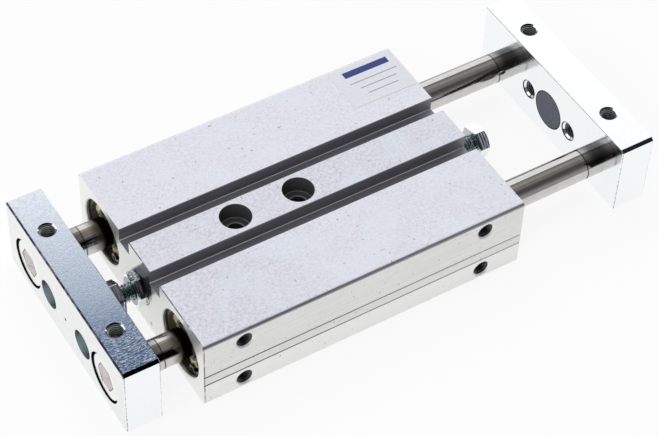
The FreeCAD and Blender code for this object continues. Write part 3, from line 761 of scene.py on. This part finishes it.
def thread_material(name, axis, dark, light):
    """Cut thread in the yokes: half-dull zinc with a painted highlight along each crest and painted shade
    between; the axis is 0 for X and 2 for Z.
    """
    made, shader = material(name)
    place, *parts = shader.coordinates()
    tone = place.noise(1.5, 3.0, 0.6)
    turn = (parts[axis] * (2 * math.pi / M5_PITCH)).sine()
    crest = (turn + tone * 0.8).ramp(0.3, 1.0)
    colour = crest.mix(grey(dark, (0.9, 1.0, 1.03)), grey(light, (0.92, 1.0, 1.02)))
    shader.surface(colour, 0.5, 0.3, tone.bump(0.01, 0.6))
    return made


def rubber_material(name, colour, shade, roughness, rim_radius=None):
    """Rubber with a fine grain; the bumpers are almost black from a radius outwards, which is painted shade
    at their rims.
    """
    made, shader = material(name)
    place, _, y, z = shader.coordinates()
    grain = place.noise(7.0)
    colour = place.noise(1.2, 3.0, 0.6).ramp(0.3, 0.7).mix(shade, colour)
    if rim_radius is not None:
        rim = radius_from(y, z, 0.0, bore_axis_height).ramp(rim_radius, rim_radius + 0.25)
        colour = rim.mix(colour, (0.008, 0.009, 0.012))
    rough = grain.ramp(0.3, 0.7, roughness - 0.08, roughness + 0.08)
    shader.surface(colour, 0.0, rough, grain.bump(0.02, 0.5))
    return made


def dress_nodes():
    """One finish for each family of CAD nodes, by the start of the node's name."""
    finishes = {
        "housing": housing_material(),
        "end_cap": brass_material(),
        "cap_o_ring": rubber_material("o_ring_rubber", grey(0.022), grey(0.015), 0.45),
        "rod_seal": rubber_material("seal_rubber", grey(0.02), grey(0.012), 0.35),
        "guide_bush": metal_material(
            "sintered_bronze", (0.6, 0.42, 0.22), (0.45, 0.3, 0.15), (0.35, 0.5), 3.0
        ),
        "retaining_ring": metal_material(
            "blackened_spring_steel", (0.16, 0.16, 0.155), (0.09, 0.09, 0.09), (0.25, 0.4)
        ),
        "piston_seal": rubber_material("lip_seal_rubber", grey(0.03), grey(0.02), 0.45),
        "piston_clip": metal_material("clip_steel", grey(0.2), grey(0.12), (0.25, 0.4)),
        "cushion_ring": rubber_material("cushion_rubber", grey(0.045), grey(0.03), 0.55),
        "lock_nut": zinc_fastener,
        "stop_screw": zinc_fastener,
        "yoke_screws": screw_material(),
        "yoke_front": zinc_plate,
        "yoke_rear": zinc_plate,
        "bumper": rubber_material("bumper_rubber", (0.1, 0.115, 0.15), (0.075, 0.088, 0.118), 0.6, 6.35),
        "piston_rod": chrome_material(),
        "piston_magnet": rubber_material("bonded_magnet", grey(0.06), grey(0.04), 0.55),
        "piston": metal_material(
            "turned_aluminium", (0.75, 0.75, 0.77), (0.62, 0.62, 0.65), (0.2, 0.3), 1.0, TURNED_STRETCH
        ),
    }
    longest_first = sorted(finishes, key=len, reverse=True)
    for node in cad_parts:
        family = next(name for name in longest_first if node.startswith(name))
        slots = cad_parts[node].data.materials
        slots.clear()
        slots.append(finishes[family])


# Pieces that the CAD model keeps plain

def mesh_piece(name, vertices, faces, made, body, smooth_angle=35.0):
    """Object from points in millimetres, riding on a body and shaded smooth up to an angle."""
    mesh = bpy.data.meshes.new(name)
    mesh.from_pydata([tuple(c * MM for c in point) for point in vertices], [], faces)
    mesh.materials.append(made)
    builder = bmesh.new()
    builder.from_mesh(mesh)
    bmesh.ops.remove_doubles(builder, verts=builder.verts, dist=1e-7)
    bmesh.ops.recalc_face_normals(builder, faces=builder.faces)
    builder.to_mesh(mesh)
    builder.free()
    mesh.polygons.foreach_set("use_smooth", [True] * len(mesh.polygons))
    mesh.set_sharp_from_angle(angle=math.radians(smooth_angle))
    piece = bpy.data.objects.new(name, mesh)
    bpy.context.scene.collection.objects.link(piece)
    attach(piece, body)
    return piece


def ring_points(centre, axis, along, radius, around):
    """One ring of points about an axis; along and radius are numbers or take the angle."""
    axis = Vector(axis)
    first = Vector((0, 0, 1)) if abs(axis.z) < 0.5 else Vector((1, 0, 0))
    second = axis.cross(first)
    points = []
    for index in range(around):
        angle = 2 * math.pi * index / around
        radial = first * math.cos(angle) + second * math.sin(angle)
        depth = along(angle) if callable(along) else along
        reach = radius(angle) if callable(radius) else radius
        points.append(Vector(centre) + axis * depth + radial * reach)
    return points


def skin(rings, close_ends=True):
    """Points and faces of a tube through rings of equally many points."""
    around = len(rings[0])
    vertices = [point for ring in rings for point in ring]
    faces = []
    for row in range(len(rings) - 1):
        for index in range(around):
            start = row * around + index
            following = row * around + (index + 1) % around
            faces.append((start, following, following + around, start + around))
    if close_ends:
        faces.append(tuple(range(around)))
        faces.append(tuple(range(len(vertices) - around, len(vertices))))
    return vertices, faces


THREAD_AROUND = 48
THREAD_ROWS_PER_PITCH = 10
THREAD_ROOT_SHARE = 0.12
THREAD_FLANK_SHARE = 0.76


def thread_rings(centre, axis, start, finish, pitch, root, crest):
    """Rings of a 60 degree thread with narrow flats; it runs out over half a turn at both ends."""
    rows = max(2, int(round((finish - start) / pitch * THREAD_ROWS_PER_PITCH)))
    rings = []
    for row in range(rows + 1):
        along = start + (finish - start) * row / rows
        share = min(1.0, min(along - start, finish - along) / (pitch / 2))
        top = root + (crest - root) * share

        def radius(angle, along=along, top=top):
            phase = (along / pitch - angle / (2 * math.pi)) % 1.0
            rise = 2 * abs(phase - 0.5)
            flank = min(max((rise - THREAD_ROOT_SHARE) / THREAD_FLANK_SHARE, 0.0), 1.0)
            return root + (top - root) * flank

        rings.append(ring_points(centre, axis, along, radius, THREAD_AROUND))
    return rings


STOP_HEAD_FACE_RADIUS = 4.75
STOP_HEAD_SLOPE = 0.577
STOP_HEAD_TURN = {"front": -32.0, "rear": -16.0}
STOP_POINT_LENGTH = 0.6
STOP_POINT_RADIUS = 2.02
HEXAGON_AROUND = 96


def hexagon_radius(angle, width, turn):
    """Distance from the axis to a hexagon's side; the angle is from +Z towards -Y."""
    sector = math.pi / 3
    local = (angle - math.radians(turn) + sector / 2) % sector - sector / 2
    return width / 2 / math.cos(local)


def stop_screw(end):
    """Hexagon-headed stop screw with its thread cut."""
    sign = ENDS[end]
    node = "stop_screw_" + end
    low, high = box_mm(node)
    centre = Vector((low.x if end == "front" else high.x, 0.0, bore_axis_height))
    inward = Vector((-sign, 0, 0))

    def side(angle):
        return hexagon_radius(-sign * angle, STOP_HEAD_WIDTH, STOP_HEAD_TURN[end])

    def chamfer_drop(angle):
        return max(0.0, side(angle) - STOP_HEAD_FACE_RADIUS) * STOP_HEAD_SLOPE

    head = ((0.0, STOP_HEAD_FACE_RADIUS), (chamfer_drop, side), (STOP_HEAD_HEIGHT, side))
    vertices, faces = skin([ring_points(centre, inward, *ring, HEXAGON_AROUND) for ring in head])
    length = high.x - low.x
    thread_end = length - STOP_POINT_LENGTH
    shank = [ring_points(centre, inward, STOP_HEAD_HEIGHT - 0.05, STOP_THREAD_ROOT, THREAD_AROUND)]
    shank += thread_rings(
        centre, inward, STOP_HEAD_HEIGHT, thread_end, M6_PITCH, STOP_THREAD_ROOT, STOP_THREAD_CREST
    )
    shank.append(ring_points(centre, inward, length, STOP_POINT_RADIUS, THREAD_AROUND))
    more_vertices, more_faces = skin(shank)
    offset = len(vertices)
    faces += [tuple(index + offset for index in face) for face in more_faces]
    body = end + "_stop"
    piece = mesh_piece(
        "threaded_stop_screw_" + end, vertices + more_vertices, faces, zinc_fastener, body
    )
    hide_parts(node)


LINER_CREST_RADIUS = 2.07
LINER_ROOT_RADIUS = 2.46


def thread_liner(name, mouth, inward, start, finish, made, body, slot):
    """Inside thread in one M5 hole, between two depths below its mouth."""
    rings = [ring_points(mouth, inward, start, M5_RADIUS, THREAD_AROUND)]
    rings += thread_rings(mouth, inward, start, finish, M5_PITCH, LINER_ROOT_RADIUS, LINER_CREST_RADIUS)
    rings.append(ring_points(mouth, inward, finish, M5_RADIUS, THREAD_AROUND))
    vertices, faces = skin(rings, close_ends=False)
    last = len(vertices) - THREAD_AROUND
    for index in range(THREAD_AROUND):
        following = (index + 1) % THREAD_AROUND
        faces.append((index, following, last + following, last + index))
    mesh_piece(name, vertices, faces, made, body, 40.0)


TOP_LINER = (0.45, 6.0)
FACE_LINER = (0.8, 5.4)
SIDE_LINERS = {"port": (PORT_HEIGHT, 0.6, 6.8), "fixing": (SIDE_FIXING_HEIGHT, 0.6, 5.4)}


def thread_liners():
    """Inside threads of the yokes and of the block's side wall."""
    for end, sign in ENDS.items():
        low, high = yokes[end]
        inner_x = high.x if end == "front" else low.x
        for side, half in SIDES.items():
            label = "%s_%s" % (end, side)
            mouth = ((low.x + high.x) / 2, half * LOAD_TOP_HALF_SPACING, high.z)
            thread_liner(
                "load_thread_top_" + label, mouth, (0, 0, -1), *TOP_LINER,
                top_thread, "carriage", "zinc_plate",
            )
            mouth = (inner_x, half * LOAD_FACE_HALF_SPACING, bore_axis_height)
            thread_liner(
                "load_thread_face_" + label, mouth, (sign, 0, 0), *FACE_LINER,
                face_thread, "carriage", "zinc_plate",
            )
        wall_x = block_low.x + SIDE_HOLE_INSET if end == "front" else block_high.x - SIDE_HOLE_INSET
        for use, (height, start, finish) in SIDE_LINERS.items():
            thread_liner(
                "side_thread_%s_%s" % (use, end), (wall_x, block_low.y, height), (0, 1, 0),
                start, finish, block_thread, "block", "housing",
            )


# The label's place on the left side of the block's top, at the rear end. It is bare apart from a
# plain bar and ruled lines, each given by its insets from the label's two ends.
LABEL_X = (block_high.x - 23.7, block_high.x - 0.6)
LABEL_Y = (block_high.y - 18.7, block_high.y - 1.4)
LABEL_THICKNESS = 0.09
LABEL_CORNER = 0.6
LABEL_CORNER_STEPS = 6
LABEL_BAR = (4.2, 2.4)
LABEL_BAR_DEPTHS = (2.0, 4.6)
LABEL_RULES = ((4.2, 1.6), (6.4, 3.4), (7.4, 4.4))
LABEL_RULE_DEPTH = 7.6
LABEL_RULE_SPACING = 2.9
LABEL_RULE_HALF_WIDTH = 0.16


def label_stripe(x, y, insets, low, high):
    along = x.within(LABEL_X[0] + insets[0], LABEL_X[1] - insets[1], 0.05)
    return along * y.within(low, high, 0.05)


def label_material():
    """Silver film with a plain dark blue bar and three thin ruled lines."""
    made, shader = material("silver_label_film")
    place, x, y, _ = shader.coordinates()
    tone = place.noise(1.4)
    colour = tone.ramp(0.3, 0.7).mix((0.72, 0.73, 0.77), (0.78, 0.79, 0.82))
    top = LABEL_Y[1]
    bar = label_stripe(x, y, LABEL_BAR, top - LABEL_BAR_DEPTHS[1], top - LABEL_BAR_DEPTHS[0])
    colour = bar.mix(colour, (0.035, 0.055, 0.22))
    for row, insets in enumerate(LABEL_RULES):
        middle = top - LABEL_RULE_DEPTH - LABEL_RULE_SPACING * row
        rule = label_stripe(x, y, insets, middle - LABEL_RULE_HALF_WIDTH, middle + LABEL_RULE_HALF_WIDTH)
        colour = rule.mix(colour, (0.25, 0.26, 0.3))
    shader.surface(colour, 0.35, tone.ramp(0.3, 0.7, 0.36, 0.46), tone.bump(0.01, 0.4))
    return made


def label():
    """Thin film with rounded corners on the block's top."""
    corners = []
    for corner_x, corner_y, first_angle in (
        (LABEL_X[1], LABEL_Y[1], 0),
        (LABEL_X[0], LABEL_Y[1], 90),
        (LABEL_X[0], LABEL_Y[0], 180),
        (LABEL_X[1], LABEL_Y[0], 270),
    ):
        centre_x = corner_x - math.copysign(LABEL_CORNER, corner_x - sum(LABEL_X) / 2)
        centre_y = corner_y - math.copysign(LABEL_CORNER, corner_y - sum(LABEL_Y) / 2)
        for step in range(LABEL_CORNER_STEPS + 1):
            angle = math.radians(first_angle + 90 * step / LABEL_CORNER_STEPS)
            corners.append(
                (centre_x + LABEL_CORNER * math.cos(angle), centre_y + LABEL_CORNER * math.sin(angle))
            )
    levels = (block_high.z, block_high.z + LABEL_THICKNESS)
    vertices, faces = skin([[Vector((x, y, level)) for x, y in corners] for level in levels])
    mesh_piece("blank_label", vertices, faces, label_material(), "block", 30.0)


# Floor, world and lamps, whose places and sizes are in metres

FLOOR_SIZE = 6.0
FLOOR_HEIGHT = -0.0001
FLOOR_COLOUR = (0.84, 0.84, 0.83)
GREY_FLOOR_Y_MM = (-85.0, -190.0)
WHITE_SHARE = 0.88
MIRRORED_WHITE_SHARE = 0.9


def make_floor():
    """Pale floor that shows almost white and keeps the object's shadow; far off in front it mirrors grey."""
    bpy.ops.mesh.primitive_plane_add(size=FLOOR_SIZE, location=(0, 0, FLOOR_HEIGHT))
    floor = bpy.context.object
    floor.name = "floor"
    made, shader = material("floor")
    seen = shader.node("ShaderNodeLightPath", output="Is Camera Ray")
    seen = seen | shader.node("ShaderNodeLightPath", output="Is Transmission Ray")
    mirrored = shader.node("ShaderNodeLightPath", output="Is Glossy Ray")
    distant = shader.coordinates()[2].ramp(*GREY_FLOOR_Y_MM) * mirrored
    diffuse = shader.node("ShaderNodeBsdfDiffuse", {"Color": FLOOR_COLOUR})
    white = shader.node("ShaderNodeEmission", {"Color": distant.mix((1.0, 1.0, 1.0), (0.3, 0.3, 0.3))})
    share = seen * WHITE_SHARE + mirrored * MIRRORED_WHITE_SHARE
    shader.finish(shader.node("ShaderNodeMixShader", (share, diffuse, white)))
    floor.data.materials.append(made)


# Brightness of the room by the height of a direction, on the far side and on the near side
BACK_SKY = (
    (0.0, (1.22, 1.23, 1.24)),
    (0.69, (1.15, 1.17, 1.2)),
    (0.725, (1.06, 1.07, 1.1)),
    (0.742, (0.99, 0.98, 1.0)),
    (0.765, (0.42, 0.51, 0.63)),
    (0.785, (0.17, 0.23, 0.34)),
    (0.81, (0.12, 0.16, 0.24)),
    (0.84, (0.27, 0.29, 0.32)),
    (0.88, (0.42, 0.41, 0.41)),
    (0.915, (0.40, 0.39, 0.38)),
    (0.93, (0.27, 0.26, 0.25)),
    (1.0, (0.27, 0.26, 0.25)),
)
FRONT_SKY = (
    (0.0, (0.42, 0.42, 0.43)),
    (0.12, (0.42, 0.42, 0.43)),
    (0.30, (0.29, 0.28, 0.29)),
    (0.48, (0.14, 0.135, 0.14)),
    (0.66, (0.095, 0.09, 0.09)),
    (0.77, (0.11, 0.105, 0.10)),
    (0.85, (0.25, 0.24, 0.23)),
    (1.0, (0.27, 0.26, 0.25)),
)


def sky_ramp(height, stops):
    """Colour by the height of a direction; the ramp holds half of each value, which is doubled after it."""
    colour = height.shader.node("ShaderNodeValToRGB", (height,))
    elements = colour.socket.node.color_ramp.elements
    while len(elements) > 1:
        elements.remove(elements[-1])
    for index, (position, parts) in enumerate(stops):
        element = elements[0] if index == 0 else elements.new(position)
        element.position = position
        element.color = (*(part / 2 for part in parts), 1.0)
    return colour.scaled((2.0, 2.0, 2.0))


def make_world():
    """White to the camera; pale walls behind the object and a dim room above and in front of it."""
    world = bpy.data.worlds.new("studio")
    world.use_nodes = True
    bpy.context.scene.world = world
    shader = Shader(world.node_tree)
    _, y, z = shader.node("ShaderNodeTexCoord", output="Generated").parts()
    height = z | 0.0
    colour = y.ramp(0.06, -0.06).mix(sky_ramp(height, BACK_SKY), sky_ramp(height, FRONT_SKY))
    colour = shader.node("ShaderNodeLightPath", output="Is Camera Ray").mix(colour, (1.0, 1.0, 1.0))
    shader.finish(shader.node("ShaderNodeBackground", {"Color": colour}), "ShaderNodeOutputWorld")


FLAG_PLACE = (0.0, -0.3, 0.15)
FLAG_WIDTH = 0.2
FLAG_HEIGHT = 0.3


def make_flag():
    """Dark card in front of the object, which only shows in polished faces near the front end."""
    bpy.ops.mesh.primitive_plane_add(size=1.0, location=FLAG_PLACE, rotation=(math.pi / 2, 0, 0))
    flag = bpy.context.object
    flag.name = "flag"
    flag.scale = (FLAG_WIDTH, FLAG_HEIGHT, 1.0)
    made, shader = material("flag")
    shader.finish(shader.node("ShaderNodeEmission", {"Color": (0.006, 0.006, 0.005)}))
    flag.data.materials.append(made)
    flag.visible_camera = False
    flag.visible_diffuse = False
    flag.visible_shadow = False
    flag.visible_transmission = False


# Place and power of each lamp, and the point that both aim at
LAMPS = {"overhead": ((0.1, 0.25, 1.4), 9.0), "front_left": ((-1.0, -0.9, 0.7), 11.0)}
LAMP_AIM = (0.03, 0.0, 0.01)
LAMP_SIZE = 1.2


def make_lamp(name, place, power):
    """Square soft box that lights the object without showing in its polished faces."""
    data = bpy.data.lights.new(name, "AREA")
    data.shape = "SQUARE"
    data.size = LAMP_SIZE
    data.energy = power
    lamp = bpy.data.objects.new(name, data)
    lamp.location = place
    aim = Vector(LAMP_AIM) - Vector(place)
    lamp.rotation_euler = aim.to_track_quat("-Z", "Y").to_euler()
    lamp.visible_glossy = False
    bpy.context.scene.collection.objects.link(lamp)


bpy.context.scene.view_settings.view_transform = "Standard"
make_camera()
make_floor()
make_world()
make_flag()
for lamp_name, (place, power) in LAMPS.items():
    make_lamp(lamp_name, place, power)

zinc_fastener = fastener_material()
zinc_plate = zinc_plate_material()
top_thread = thread_material("top_load_thread", 2, 0.05, 0.6)
face_thread = thread_material("face_load_thread", 0, 0.05, 0.22)
block_thread = metal_material("block_thread", (0.13, 0.13, 0.14), (0.06, 0.06, 0.065), (0.25, 0.4))

dress_nodes()
for end in ENDS:
    stop_screw(end)
thread_liners()
label()
